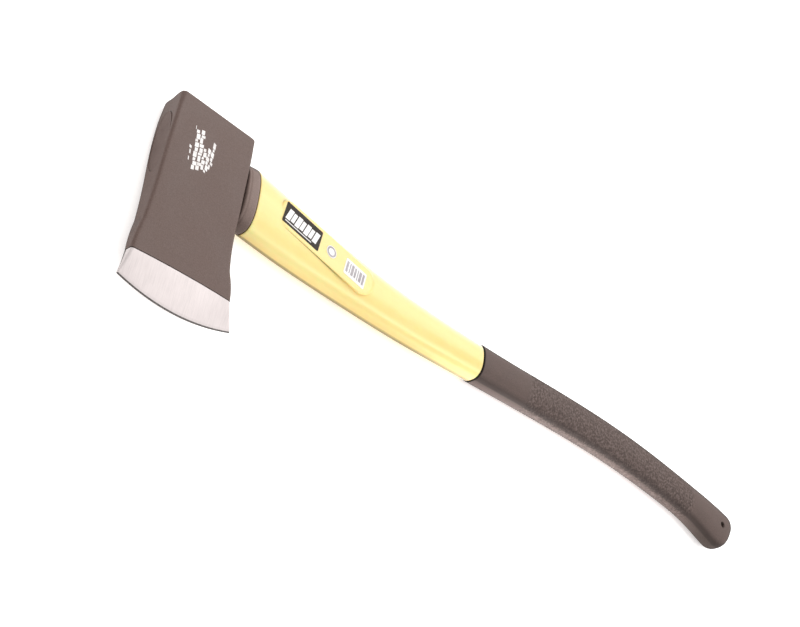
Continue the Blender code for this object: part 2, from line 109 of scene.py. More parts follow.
# Sections: x, width in y, thickness in z.
JACKET = [(52, 66.6, 29.6), (100, 61.4, 29.4), (150, 54.2, 29.0),
          (200, 47.8, 28.7), (250, 43.8, 28.4), (300, 40.7, 28.1),
          (350, 38.2, 28.0)]
GRIP = [(GRIP_X, 39.6, 29.4), (380, 38.8, 28.9), (450, 38.5, 28.9),
        (550, 38.3, 28.9), (650, 38.0, 28.8), (700, 38.8, 29.0),
        (735, 42.0, 30.0), (755, 43.6, 30.6), (BUTT_X, 43.8, 30.6)]
LEAN, LEAN_SPAN = 0.5, (690.0, 765.0)               # sections lean, dx/dy, over this x
GRIP_WALL, BUTT_ROUND = 3.2, 15.0
JACKET_END_X = 744.0
JACKET_TIP_X = JACKET_END_X - 6.0                   # start of the tapered tip
MOUTH_GAP = 1.1               # open gap between the jacket and the grip's mouth
CORE, CORE_X1, CORE_POWER = (24.0, 10.0), 722.0, 2.2
CORE_END_GAP = 0.4            # extra clearance at the blind end of the bore
JACKET_SEAM, JACKET_SEAM_SPAN = 0.11, (0.25, 0.9)   # height, |z| where it fades
GRIP_SEAM, GRIP_SEAM_SPAN = 0.10, (0.2, 0.7)

HOLE_X, HOLE_Y, HOLE_R = 752.3, -6.5, 2.8
HOLE_HALF = 15.25             # half depth of the hole between its lips
# Hole tool: |z|, growth of the radius.
HOLE_LIP = ((30, 1.9), (HOLE_HALF + 0.2, 1.3), (HOLE_HALF - 0.4, 0.62),
            (HOLE_HALF - 1.1, 0.2), (HOLE_HALF - 2.0, 0.0))

KNURL_X0, KNURL_X1 = 417.0, 700.0
KNURL_ROUND, KNURL_PITCH = 36, 3.6                  # diamonds round, length of each
KNURL_HEIGHT, KNURL_LEVEL = 0.46, 0.55              # level: share of height sunk in
KNURL_FADE = 5                # run-out at each end
KNURL_STRIP = (1.6, 3.4)      # |z| over which it rises beside the parting line
PLAIN_STEP, KNOB_STEP = 3.4, 2.4
GRIP_COUNT = 4 * KNURL_ROUND

# -------------------------------------------------------- panel and its labels
PAD_Z, PAD_X0, PAD_X1 = 15.0, 78.0, 194.0
PAD_LOW, PAD_HIGH = (-13.0, -0.147), (16.2, -0.135)     # long sides: y at PAD_X0, slope
PAD_RADII = (8.0, 17.0, 9.5, 9.0)
PAD_END_INSET = 6.0           # the ends draw in this much faster than the sides
# Panel rim: inset, z.
PAD_LEVELS = ((0.0, 7.0), (0.0, PAD_Z - 0.75), (0.10, PAD_Z - 0.45), (0.30, PAD_Z - 0.20),
              (0.62, PAD_Z - 0.05), (1.05, PAD_Z))
LABEL_Z = PAD_Z + 0.02
SINK = 0.02                   # labels and print reach this far into what they lie on
LABEL_CORNER, LABEL_RIM = 1.2, 0.05
PRINT_THICK, CHEEK_PRINT_THICK = 0.03, 0.05
PRINT_CELL = 2.0
# Rectangles: x, y, length, width, turn in degrees.
MAIN_LABEL = (103.4, -1.4, 44.2, 21.8, -8.8)
BAR_STICKER = (169.6, -11.8, 26.0, 17.0, -8.8)
ROUND_X, ROUND_Y, ROUND_D = 139.4, -6.6, 11.8
# Ring on the round sticker: radius, height above LABEL_Z.
SEAL_RING = ((3.5, 0.13), (5.2, 0.13), (5.2, 0.19), (3.5, 0.19))
# Cheek print: start x, start y, direction in degrees, width, block lengths, gap.
# A length of 0 leaves a blank.
PRINT_COLUMNS = (
    (-21.2, 24.6, -84.0, 1.8, (3.4, 0.0, 0.0), 1.0),
    (-18.6, 21.6, -86.0, 4.0, (3.2, 5.0, 2.4, 4.4, 3.4, 5.2, 2.8, 3.6, 4.0), 0.55),
    (-13.6, 24.2, -87.0, 4.2, (4.4, 2.6, 5.2, 3.2, 4.4, 2.2, 5.4, 3.0, 4.2), 0.55),
    (-8.4, 8.6, -89.0, 3.4, (2.8, 4.4, 2.2, 3.8, 4.6), 0.6),
    (-4.2, 12.0, -90.0, 3.2, (4.6, 2.4, 4.0, 3.0, 4.8, 2.2), 0.6),
    (-0.2, 20.2, -91.0, 3.0, (5.8, 2.4, 5.0, 3.4, 2.6, 4.2), 0.7),
    (-23.4, 4.0, -84.0, 2.2, (2.6, 3.8, 0.0, 3.4), 1.5),
)
# Cycles that make the printed blocks uneven.
PRINT_TRIMS, PRINT_SHIFTS, PRINT_SLANTS = (0.0, 0.9, 0.35, 1.3), (0.0, 0.5, -0.35), (0.30, -0.22)

# ---------------------------------------------------------------- stage, metres
FLOOR_AT = (0.36, -0.05, -0.01565)
FLOOR_SIZE = 6.0              # half the side of the square
FLOOR_GLOW, GLOW_EXTRA = 0.55, 2.8
GLOW_SPOT = (0.160, -0.09, 0.0)                     # from the middle of the floor
GLOW_SPAN = (0.09, 0.25)      # distances over which the extra glow fades
TENT_COLOUR = (1.0, 0.985, 0.975)
LIGHT_AIM = (0.33, -0.055, 0.0)
CAMERA_AZIMUTH, CAMERA_ELEVATION, CAMERA_ROLL = -47.124, 36.345, 67.178
CAMERA_DISTANCE, CAMERA_TARGET = 1.453057, (0.244224, -0.058029, 0.0)


# =================================================================== helpers
def spline(table, column=1):
    """Natural cubic through x and one column of a table, held constant beyond the ends."""
    rows = sorted(table)
    xs = [float(row[0]) for row in rows]
    values = [float(row[column]) for row in rows]
    count = len(xs)
    gaps = [xs[i + 1] - xs[i] for i in range(count - 1)]
    slopes = [(values[i + 1] - values[i]) / gaps[i] for i in range(count - 1)]
    diagonal, right, upper = [1.0] * count, [0.0] * count, [0.0] * count
    for i in range(1, count - 1):
        upper[i] = gaps[i]
        share = gaps[i - 1] / diagonal[i - 1]
        diagonal[i] = 2 * (gaps[i - 1] + gaps[i]) - share * upper[i - 1]
        right[i] = 6 * (slopes[i] - slopes[i - 1]) - share * right[i - 1]
    bend = [0.0] * count      # second derivatives
    for i in range(count - 2, 0, -1):
        bend[i] = (right[i] - upper[i] * bend[i + 1]) / diagonal[i]

    def value(x):
        x = min(max(x, xs[0]), xs[-1])
        i = max(j for j in range(count - 1) if xs[j] <= x)
        gap, after, before = gaps[i], xs[i + 1] - x, x - xs[i]
        return (bend[i] * after ** 3 + bend[i + 1] * before ** 3) / (6 * gap) \
            + (values[i] / gap - bend[i] * gap / 6) * after \
            + (values[i + 1] / gap - bend[i + 1] * gap / 6) * before
    return value


centre_y = spline(CENTRE)
crown_x = spline(CROWN_SIDE)
heel_x = spline(HEEL_SIDE)
cheek_taper = spline(CHEEK_HALF)
jacket_width, jacket_thick = spline(JACKET), spline(JACKET, 2)
grip_width, grip_thick = spline(GRIP), spline(GRIP, 2)


def lerp(start, end, share):
    return start + (end - start) * share


def smooth(x, start, end):
    share = min(max((x - start) / (end - start), 0.0), 1.0)
    return share * share * (3 - 2 * share)


def place(point):
    """Millimetres from the eye to metres in the frame."""
    return Vector((point[0], point[1] + EYE_Y, point[2])) * MM


def circle(x, y, radius, count=64):
    angles = [2 * math.pi * k / count for k in range(count)]
    return [(x + radius * math.cos(a), y + radius * math.sin(a)) for a in angles]


def oval_point(angle, width, thick, power):
    """Point (y, z) on a superellipse."""
    across, up = math.cos(angle), math.sin(angle)
    return (0.5 * width * math.copysign(abs(across) ** (2 / power), across),
            0.5 * thick * math.copysign(abs(up) ** (2 / power), up))


def section(x, width, thick, power=SECTION_POWER, count=96, grow=None):
    """Superellipse on the handle's centre line, points evenly spaced round it.
    grow(share, z) gives how far a point moves outwards; share is 0 to 1 round it."""
    steps = 720
    dense = [oval_point(2 * math.pi * i / steps, width, thick, power)
             for i in range(steps + 1)]
    length = [0.0]
    for (y0, z0), (y1, z1) in zip(dense[:-1], dense[1:]):
        length.append(length[-1] + math.hypot(y1 - y0, z1 - z0))
    lean = LEAN * smooth(x, *LEAN_SPAN)
    mid_y = centre_y(x)
    ring = []
    j = 0
    for i in range(count):
        want = length[-1] * i / count
        while length[j + 1] < want:
            j += 1
        share = (want - length[j]) / (length[j + 1] - length[j])
        y = lerp(dense[j][0], dense[j + 1][0], share)
        z = lerp(dense[j][1], dense[j + 1][1], share)
        if grow:
            out = grow(i / count, z)
            normal_y = math.copysign(abs(y / (0.5 * width)) ** (power - 1), y) / width
            normal_z = math.copysign(abs(z / (0.5 * thick)) ** (power - 1), z) / thick
            size = math.hypot(normal_y, normal_z)
            y += out * normal_y / size
            z += out * normal_z / size
        ring.append((x + lean * y, mid_y + y, z))
    return ring


def rounded_rim(x0, width_at, thick_at, steps, count=96):
    """Sections that round over from an end face at x0."""
    rings = []
    for k in range(steps + 1):
        angle = math.pi / 2 * k / steps
        x = x0 + RIM_R * (1 - math.cos(angle))
        inset = RIM_R * (1 - math.sin(angle))
        rings.append(section(x, width_at(x) - 2 * inset, thick_at(x) - 2 * inset, count=count))
    return rings


def shade(mesh, sharp_angle):
    mesh.shade_smooth()
    if sharp_angle is not None:
        mesh.set_sharp_from_angle(angle=sharp_angle)


def mesh_object(bm, name, sharp_angle, *mats):
    bmesh.ops.recalc_face_normals(bm, faces=bm.faces)
    mesh = bpy.data.meshes.new(name)
    bm.to_mesh(mesh)
    bm.free()
    shade(mesh, sharp_angle)
    for mat in mats:
        mesh.materials.append(mat)
    obj = bpy.data.objects.new(name, mesh)
    bpy.context.scene.collection.objects.link(obj)
    return obj


def strip(bm, low, high):
    """Quads between two rings of vertices, in order round the ring."""
    count = len(low)
    return [bm.faces.new((low[i], low[(i + 1) % count], high[(i + 1) % count], high[i]))
            for i in range(count)]


def skin(rings, closed=False):
    """Skin over rings of equal count: capped at both ends, or closed on itself."""
    bm = bmesh.new()
    rows = [[bm.verts.new(place(p)) for p in ring] for ring in rings]
    for low, high in zip(rows[:-1], rows[1:]):
        strip(bm, low, high)
    if closed:
        strip(bm, rows[-1], rows[0])
    else:
        bm.faces.new(list(reversed(rows[0])))
        bm.faces.new(rows[-1])
    return bm


def boolean(target, operation, tool_name, rings):
    """Cut or join a skinned tool and keep the result as the mesh."""
    tool = mesh_object(skin(rings), tool_name, 0.7)
    mod = target.modifiers.new("cut", 'BOOLEAN')
    mod.operation = operation
    mod.object = tool
    mod.solver = 'EXACT'
    bpy.context.view_layer.update()
    graph = bpy.context.evaluated_depsgraph_get()
    mesh = bpy.data.meshes.new_from_object(target.evaluated_get(graph))
    target.modifiers.clear()
    old = target.data
    target.data = mesh
    bpy.data.meshes.remove(old)
    bpy.data.objects.remove(tool, do_unlink=True)


def piece(obj, slot, *nodes):
    """Register a piece and the CAD nodes it replaces; slot is not used."""
    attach(obj, "root")
    if nodes:
        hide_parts(*nodes)


# ================================================================= materials
class Nodes:
    """Small builder around the node tree of a material or world."""

    def __init__(self, owner, coord="Object"):
        owner.use_nodes = True
        self.owner = owner
        self.tree = owner.node_tree
        self.coord = self.put("ShaderNodeTexCoord").outputs[coord]

    def feed(self, socket, value):
        """Link a socket, or set it; a plain tuple is an RGB colour."""
        if isinstance(value, bpy.types.NodeSocket):
            self.tree.links.new(value, socket)
        elif isinstance(value, tuple):
            socket.default_value = (*value, 1)
        else:
            socket.default_value = value

    def put(self, kind, inputs=None, **settings):
        node = self.tree.nodes.new(kind)
        for key, value in settings.items():
            setattr(node, key, value)
        for key, value in (inputs or {}).items():
            self.feed(node.inputs[key], value)
        return node

    def noise(self, scale, detail=2.0, rough=0.5, vector=None):
        return self.put("ShaderNodeTexNoise", {
            "Scale": scale, "Detail": detail, "Roughness": rough,
            "Vector": vector or self.coord}).outputs["Fac"]

    def streaks(self, x, y, z, detail, rough, degrees=0.0):
        """Noise with its own scale on each axis, turned about Z."""
        mapped = self.put("ShaderNodeMapping", {
            "Scale": Vector((x, y, z)), "Rotation": Vector((0, 0, math.radians(degrees))),
            "Vector": self.coord})
        return self.noise(1.0, detail, rough, mapped.outputs["Vector"])

    def ramp(self, fac, *stops):
        """Colour ramp; each stop is (position, colour)."""
        node = self.put("ShaderNodeValToRGB", {"Fac": fac})
        elements = node.color_ramp.elements
        for element, (position, colour) in ((elements[0], stops[0]), (elements[1], stops[-1])):
            element.position = position
            element.color = (*colour, 1)
        for position, colour in stops[1:-1]:
            elements.new(position).color = (*colour, 1)
        return node.outputs["Color"]

    def mix(self, base, other, share):
        return self.put("ShaderNodeMix", {0: share, 6: base, 7: other},
                        data_type='RGBA').outputs[2]

    def remap(self, value, to, source=(0.3, 0.7), **settings):
        """Clamped map from one span to another; the default source suits noise."""
        return self.put("ShaderNodeMapRange", {
            "From Min": source[0], "From Max": source[1],
            "To Min": to[0], "To Max": to[1], "Value": value}, **settings).outputs["Result"]

    def math(self, operation, a, b):
        return self.put("ShaderNodeMath", {0: a, 1: b, 2: 0.0}, operation=operation).outputs[0]

    def times(self, a, b):
        return self.math('MULTIPLY', a, b)

    def plus(self, a, b):
        return self.math('ADD', a, b)

    def split(self, vector):
        return self.put("ShaderNodeSeparateXYZ", {0: vector}).outputs

    def normal(self):
        return self.split(self.put("ShaderNodeNewGeometry").outputs["Normal"])

    def facing(self):
        return self.put("ShaderNodeLayerWeight", {"Blend": 0.5}).outputs["Facing"]

    def for_camera(self, seen, otherwise):
        """One value for camera rays and another for all the rest."""
        camera_ray = self.put("ShaderNodeLightPath").outputs["Is Camera Ray"]
        return self.put("ShaderNodeMix", {0: camera_ray, 2: otherwise, 3: seen},
                        data_type='FLOAT').outputs[0]

    def painted_crease_shade(self, colour, dark, reach, power, strength=1.0):
        """Painted shade: darker where the surface is close to another one, in joints and
        grooves.
        """
        open_share = self.put("ShaderNodeAmbientOcclusion", {"Distance": reach},
                              samples=8).outputs["AO"]
        shut = self.math('SUBTRACT', 1.0, self.math('POWER', open_share, power))
        return self.mix(colour, dark, self.times(shut, strength))

    def painted_outline_shade(self, colour, dark, start=0.60, end=0.86):
        """Painted shade: darker where the surface turns away at its outline."""
        return self.mix(colour, dark, self.remap(self.facing(), (0.0, 1.0), (start, end)))

    def painted_underside_shade(self, colour, dark, start, end):
        """Painted shade: darker low on the flanks; the flat underneath keeps its own colour."""
        up = self.normal()[2]
        low = self.remap(up, (0.0, 1.0), (start, end))
        above_flat = self.remap(up, (0.0, 1.0), (-0.95, -0.80))
        return self.mix(colour, dark, self.times(low, above_flat))

    def painted_sheen(self, colour, pale, start, end, strength):
        """Painted sheen: paler towards the outline, on the poll-side flank only."""
        outline = self.remap(self.facing(), (0.0, strength), (start, end))
        poll_side = self.remap(self.normal()[1], (0.0, 1.0), (0.02, 0.30))
        return self.mix(colour, pale, self.times(outline, poll_side))

    def flank(self, colour, other, stops, strength, turn=(-0.15, -0.55)):
        """Painted light and shade on the edge-side flank: another colour mixed in there; stops
        give its share by how far the surface looks up (0 straight down, 1 straight up)."""
        normal = self.normal()
        upward = self.remap(normal[2], (0.0, 1.0), (-1.0, 1.0))
        share = self.ramp(upward, *[(at, (grey, grey, grey)) for at, grey in stops])
        side = self.remap(normal[1], (0.0, 1.0), turn)
        return self.mix(colour, other, self.times(self.times(side, share), strength))

    def principled(self):
        return self.tree.nodes["Principled BSDF"].inputs

    def bump(self, height, strength, distance):
        node = self.put("ShaderNodeBump", {
            "Strength": strength, "Distance": distance, "Height": height})
        self.feed(self.principled()["Normal"], node.outputs["Normal"])

    def finish(self, **values):
        """Set the shader's inputs, underscores standing for spaces."""
        for key, value in values.items():
            self.feed(self.principled()[key.replace("_", " ")], value)
        return self.owner


def new_material(name):
    return Nodes(bpy.data.materials.new(name))


def head_paint():
    """Satin black-brown enamel with a fine orange peel."""
    mat = new_material("head_paint")
    broad = mat.noise(scale=28, detail=3, rough=0.55)
    fine = mat.noise(scale=900, rough=0.6)
    colour = mat.ramp(broad, (0.30, (0.116, 0.076, 0.065)), (0.55, (0.128, 0.085, 0.073)),
                      (0.75, (0.141, 0.095, 0.082)))
    speck = mat.ramp(fine, (0.30, (0.088, 0.056, 0.047)), (0.52, (0.128, 0.085, 0.073)),
                     (0.74, (0.168, 0.116, 0.102)))
    mat.bump(mat.plus(mat.times(fine, 0.5), mat.noise(scale=260)),
             strength=0.25, distance=0.0002)
    # Painted shade darkens the paint towards the outline.
    body = mat.painted_outline_shade(mat.mix(colour, speck, share=0.45), dark=(0.022, 0.014, 0.012))
    return mat.finish(Base_Color=body, Roughness=mat.remap(broad, to=(0.44, 0.56)),
                      Specular_IOR_Level=0.22)


def scorched_paint():
    """The lip of the paint, burnt dark along the grinding."""
    mat = new_material("scorched_paint")
    burn = mat.noise(scale=420, detail=3, rough=0.65)
    colour = mat.ramp(burn, (0.32, (0.020, 0.013, 0.010)), (0.68, (0.060, 0.042, 0.036)))
    return mat.finish(Base_Color=colour, Roughness=0.6, Specular_IOR_Level=0.2)


def ground_steel():
    """Bare steel, with fine scratches square to the edge."""
    mat = new_material("ground_steel")
    lines = mat.streaks(x=1400, y=60, z=60, detail=3, rough=0.65, degrees=3)
    cross = mat.streaks(x=90, y=900, z=90, detail=2, rough=0.6)
    haze = mat.noise(scale=45, detail=3, rough=0.6)
    colour = mat.ramp(lines, (0.28, (0.48, 0.436, 0.434)), (0.5, (0.605, 0.550, 0.546)),
                      (0.72, (0.70, 0.640, 0.633)))
    warm = mat.ramp(haze, (0.32, (0.565, 0.513, 0.508)), (0.7, (0.655, 0.597, 0.590)))
    mat.bump(mat.plus(lines, mat.times(cross, 0.25)), strength=0.30, distance=0.00012)
    return mat.finish(Base_Color=mat.mix(colour, warm, share=0.5), Metallic=0.35,
                      Roughness=mat.remap(lines, to=(0.38, 0.54), source=(0.25, 0.75)))


def honed_steel_painted_dark():
    """The narrow honed land along the cutting edge; its dark colour is a painted dark
    reflection, darker than the grinding.
    """
    mat = new_material("honed_steel_painted_dark")
    lines = mat.streaks(x=700, y=90, z=90, detail=3, rough=0.6)
    colour = mat.ramp(lines, (0.3, (0.060, 0.055, 0.052)), (0.7, (0.150, 0.138, 0.132)))
    mat.bump(lines, strength=0.3, distance=0.0001)
    return mat.finish(Base_Color=colour, Metallic=0.3, Roughness=0.5, Specular_IOR_Level=0.25)


def jacket_yellow():
    """Moulded yellow plastic: semi-gloss, faint flow marks, fine texture."""
    mat = new_material("jacket_yellow")
    flow = mat.streaks(x=9, y=55, z=55, detail=3, rough=0.55)
    cloud = mat.noise(scale=38, detail=3, rough=0.6)
    grain = mat.noise(scale=1500, rough=0.6)
    base = mat.ramp(flow, (0.30, (0.790, 0.560, 0.163)), (0.55, (0.815, 0.596, 0.190)),
                    (0.75, (0.845, 0.636, 0.224)))
    mottle = mat.ramp(cloud, (0.32, (0.785, 0.552, 0.154)), (0.68, (0.850, 0.641, 0.230)))
    mat.bump(mat.plus(mat.times(grain, 0.35), mat.noise(scale=420)),
             strength=0.16, distance=0.0002)
    along = mat.split(mat.coord)[0]
    # Painted highlight on the edge-side flank, strongest near the head.
    colour = mat.flank(
        mat.mix(base, mottle, share=0.4), other=(0.99, 0.86, 0.36),
        stops=[(0.40, 0.15), (0.56, 0.35), (0.70, 0.8), (0.90, 1.0), (0.995, 0.4)],
        strength=mat.remap(along, to=(1.0, 0.68), source=(0.07, 0.19)), turn=(0.10, -0.20))
    # Painted sheen towards the outline, on the poll-side flank.
    colour = mat.painted_sheen(colour, pale=(0.99, 0.97, 0.86), start=0.44, end=0.92, strength=0.9)
    # Painted shade low on the flanks.
    colour = mat.painted_underside_shade(colour, dark=(0.27, 0.200, 0.055), start=-0.02, end=-0.20)
    # Painted shade in the joints and round the panel, least from the panel's grip end almost to
    # the mouth.
    where = mat.math('MAXIMUM', mat.remap(along, to=(1.0, 0.04), source=(0.142, 0.166)),
                     mat.remap(along, to=(0.0, 1.0), source=(0.330, 0.340)))
    colour = mat.painted_crease_shade(colour, dark=(0.105, 0.088, 0.014), reach=0.0028, power=2.4,
                         strength=where)
    return mat.finish(Base_Color=colour, Subsurface_Weight=0.25, Subsurface_Scale=0.008,
                      Roughness=mat.remap(cloud, to=(0.30, 0.38)), Specular_IOR_Level=0.46)


def grip_rubber():
    """Matt rubber, a little dusty."""
    mat = new_material("grip_rubber")
    dust = mat.noise(scale=60, detail=4, rough=0.65)
    pores = mat.noise(scale=1300, detail=3, rough=0.65)
    colour = mat.ramp(dust, (0.30, (0.091, 0.064, 0.056)), (0.55, (0.111, 0.079, 0.070)),
                      (0.78, (0.136, 0.099, 0.089)))
    fine = mat.ramp(pores, (0.32, (0.070, 0.049, 0.043)), (0.68, (0.152, 0.111, 0.101)))
    # Light and dark grains over the knurled length only.
    grains = mat.ramp(mat.noise(scale=430, rough=0.6), (0.38, (0.030, 0.020, 0.017)),
                      (0.50, (0.094, 0.068, 0.061)), (0.64, (0.235, 0.180, 0.164)))
    along = mat.split(mat.coord)[0]
    knurled = mat.times(mat.remap(along, to=(0.0, 0.44), source=(0.414, 0.422)),
                        mat.remap(along, to=(1.0, 0.0), source=(0.694, 0.702)))
    body = mat.mix(mat.mix(colour, fine, share=0.45), grains, share=knurled)
    # Painted shade on the edge-side flank, and lower down too on the knob.
    body = mat.flank(body, other=(0.022, 0.015, 0.013), strength=0.72,
                     stops=[(0.52, 0.0), (0.60, 1.0), (0.76, 0.9), (0.91, 0.0)])
    body = mat.flank(body, other=(0.026, 0.020, 0.015),
                     stops=[(0.10, 1.0), (0.50, 0.8), (0.64, 0.5), (0.85, 0.0)],
                     strength=mat.remap(along, to=(0.0, 0.66), source=(0.690, 0.735)))
    # Painted shade along the lip at the mouth.
    lip = mat.remap(along, to=(0.92, 0.0), source=(0.3476, 0.3488))
    body = mat.mix(body, (0.010, 0.007, 0.006), share=lip)
    mat.bump(pores, strength=0.35, distance=0.00022)
    # Painted shade towards the outline.
    body = mat.painted_outline_shade(body, dark=(0.022, 0.015, 0.013), start=0.66, end=0.90)
    # Painted shade in the joints and grooves.
    body = mat.painted_crease_shade(body, dark=(0.012, 0.009, 0.008), reach=0.0016, power=1.3)
    return mat.finish(Base_Color=body, Roughness=mat.remap(dust, to=(0.62, 0.76)),
                      Specular_IOR_Level=0.2)


def collar_black():
    """Moulded black collar: satin with a spark-eroded texture."""
    mat = new_material("collar_black")
    cloud = mat.noise(scale=70, detail=3, rough=0.55)
    spark = mat.noise(scale=1100, rough=0.7)
    colour = mat.ramp(cloud, (0.3, (0.182, 0.128, 0.110)), (0.7, (0.243, 0.176, 0.154)))
    fine = mat.ramp(spark, (0.32, (0.143, 0.099, 0.084)), (0.7, (0.282, 0.206, 0.181)))
    mat.bump(spark, strength=0.3, distance=0.0002)
    # Painted shade towards the outline.
    body = mat.painted_outline_shade(mat.mix(colour, fine, share=0.4), dark=(0.018, 0.012, 0.010),
                      start=0.56, end=0.84)
    # Painted shade on the edge-side flank.
    body = mat.flank(body, other=(0.060, 0.044, 0.038), strength=0.30,
                     stops=[(0.30, 1.0), (0.60, 1.0), (0.80, 0.6), (0.97, 0.0)])
    # Painted shade in the joints and grooves.
    body = mat.painted_crease_shade(body, dark=(0.012, 0.009, 0.008), reach=0.0014, power=1.0,
                       strength=0.8)
    return mat.finish(Base_Color=body, Roughness=mat.remap(cloud, to=(0.48, 0.60)),
                      Specular_IOR_Level=0.3)


def cap_resin():
    """Resin in the crown, dark like the head's paint."""
    mat = new_material("cap_resin")
    pool = mat.noise(scale=90, detail=3, rough=0.6)
    grit = mat.noise(scale=700, rough=0.6)
    colour = mat.ramp(pool, (0.3, (0.110, 0.071, 0.060)), (0.7, (0.132, 0.088, 0.076)))
    mat.bump(mat.plus(pool, mat.times(grit, 0.2)), strength=0.3, distance=0.0006)
    return mat.finish(Base_Color=colour, Roughness=mat.remap(grit, to=(0.46, 0.58)),
                      Specular_IOR_Level=0.22)


def glass_fibre():
    """Long pale strands along the handle."""
    mat = new_material("glass_fibre")
    strand = mat.streaks(x=6, y=900, z=900, detail=4, rough=0.6)
    colour = mat.ramp(strand, (0.3, (0.55, 0.50, 0.34)), (0.55, (0.74, 0.70, 0.55)),
                      (0.75, (0.86, 0.84, 0.74)))
    mat.bump(strand, strength=0.25, distance=0.0002)
    return mat.finish(Base_Color=colour, Roughness=0.45)


def resin_amber():
    mat = new_material("resin_amber")
    swirl = mat.noise(scale=120, detail=4, rough=0.6)
    colour = mat.ramp(swirl, (0.3, (0.30, 0.18, 0.05)), (0.7, (0.55, 0.38, 0.15)))
    mat.bump(swirl, strength=0.15, distance=0.0003)
    return mat.finish(Base_Color=colour, Roughness=mat.remap(swirl, to=(0.18, 0.32)))


def dam_foam():
    mat = new_material("dam_foam")
    cell = mat.put("ShaderNodeTexVoronoi", {"Scale": 900, "Vector": mat.coord})
    size = cell.outputs["Distance"]
    colour = mat.ramp(size, (0.1, (0.05, 0.05, 0.05)), (0.6, (0.20, 0.20, 0.20)))
    mat.bump(size, strength=0.8, distance=0.0005)
    return mat.finish(Base_Color=colour, Roughness=0.92)


def film(name, low, high, rough):
    """Printed film or paper: slight fibre, slight unevenness of the ink."""
    mat = new_material(name)
    ink = mat.noise(scale=160, detail=3, rough=0.6)
    fibre = mat.noise(scale=2200, rough=0.6)
    colour = mat.ramp(ink, (0.3, low), (0.7, high))
    mat.bump(fibre, strength=0.12, distance=0.00008)
    return mat.finish(Base_Color=colour, Specular_IOR_Level=0.2,
                      Roughness=mat.remap(fibre, to=(rough - 0.05, rough + 0.07)))


def floor_white():
    """Glowing white table. Off camera it glows more beside the grip, which
    lifts the grip's lower flank."""
    mat = new_material("studio_floor")
    cloud = mat.noise(scale=3)
    colour = mat.ramp(cloud, (0.3, (0.905, 0.900, 0.897)), (0.7, (0.915, 0.911, 0.908)))
    away = mat.put("ShaderNodeVectorMath", {0: mat.coord, 1: Vector(GLOW_SPOT)},
                   operation='DISTANCE').outputs["Value"]
    glow = mat.remap(away, to=(FLOOR_GLOW + GLOW_EXTRA, FLOOR_GLOW), source=GLOW_SPAN)
    return mat.finish(Base_Color=colour, Roughness=0.85, Specular_IOR_Level=0.2,
                      Emission_Color=TENT_COLOUR,
                      Emission_Strength=mat.for_camera(seen=FLOOR_GLOW, otherwise=glow))


# ====================================================================== head
# A column is one place across the cheek: x, y, half thickness, edge radius.
SHARES = [i / (COLUMNS - 1) for i in range(COLUMNS)]    # crown 0 to heel 1


def cheek_half(y):
    return min(cheek_taper(y), CHEEK_HALF_MAX)


def line_point(line, share):
    (crown, heel, bow) = line
    return (lerp(crown[0], heel[0], share),
            lerp(crown[1], heel[1], share) - bow * (1 - (2 * share - 1) ** 2))


def forged(x, y):
    """Slight waviness of the cheek, faded out towards its borders."""
    fade = smooth(y, -104, -88) * (1 - smooth(y, 34, 50))
    side = smooth(x, -42, -34) * (1 - smooth(x, 30, 38))
    return fade * side * (0.030 * math.sin(x / 7.3 + 0.7) * math.sin(y / 9.1 + 1.9)
                          + 0.045 * math.sin(x / 17.0 + y / 23.0 + 0.4))


def cheek_z(x, y):
    return cheek_half(y) + forged(x, y)


def corner(y, radius):
    """How far the poll's upright corner has rounded off the side, in plan."""
    depth = max(0.0, y - (POLL_Y - radius)) / radius
    return radius * (1 - math.sqrt(max(0.0, 1 - depth * depth)))


def head_ring(columns, low_radius, slack=0.0, wavy=False):
    """Upper cheek, heel side, lower cheek, crown side. low_radius is the lower
    crown edge's; slack draws that edge in towards the heel side."""
    heel_radius = columns[-1][3]

    def cheek(sign):
        crown_inset = columns[0][3] if sign > 0 else low_radius + slack
        points = []
        for share, (x, y, half, _) in zip(SHARES, columns):
            x += crown_inset * (1 - share) - heel_radius * share
            wave = forged(x, y) if wavy else 0.0
            points.append((x, y, sign * (half + wave)))
        return points

    def side(column, low, pull, sign):
        """Down one side from the upper edge to the lower; sign +1 is the heel."""
        x, y, half, radius = column
        points = []
        for k in range(1, ARC + 1):
            angle = math.pi / 2 * k / ARC
            points.append((x - sign * radius + sign * radius * math.sin(angle), y,
                           half - radius + radius * math.cos(angle)))
        for k in range(1, SIDE):
            points.append((x + pull * smooth(k / SIDE, 0.1, 1.0), y,
                           lerp(half - radius, low - half, k / SIDE)))
        for k in range(ARC):
            angle = math.pi / 2 * k / ARC
            points.append((x + pull - sign * low + sign * low * math.cos(angle), y,
                           -(half - low) - low * math.sin(angle)))
        return points

    return (cheek(1) + side(columns[-1], heel_radius, 0.0, 1)
            + cheek(-1)[::-1] + side(columns[0], low_radius, slack, -1)[::-1])


def body_ring(y, inset=0.0):
    """Straight section of the head; inset shrinks it for the poll's rounding."""
    crown_round = corner(y, CORNER_CROWN)
    crown_end = crown_x(y) + inset + crown_round
    heel_end = heel_x(y) - inset - corner(y, CORNER_HEEL)
    half = cheek_half(y) - inset
    edge_radius = CHEEK_EDGE_R + CHEEK_EDGE_GAIN * smooth(y, *CHEEK_EDGE_SPAN)
    radius = min(edge_radius, 0.9 * half)
    low_radius = min(radius + LOW_EDGE_GAIN * smooth(y, *LOW_EDGE_SPAN), 0.8 * half)
    columns = [(lerp(crown_end, heel_end, share), y, half, radius) for share in SHARES]
    return head_ring(columns, low_radius, corner(y, LOW_CROWN) - crown_round, inset == 0)


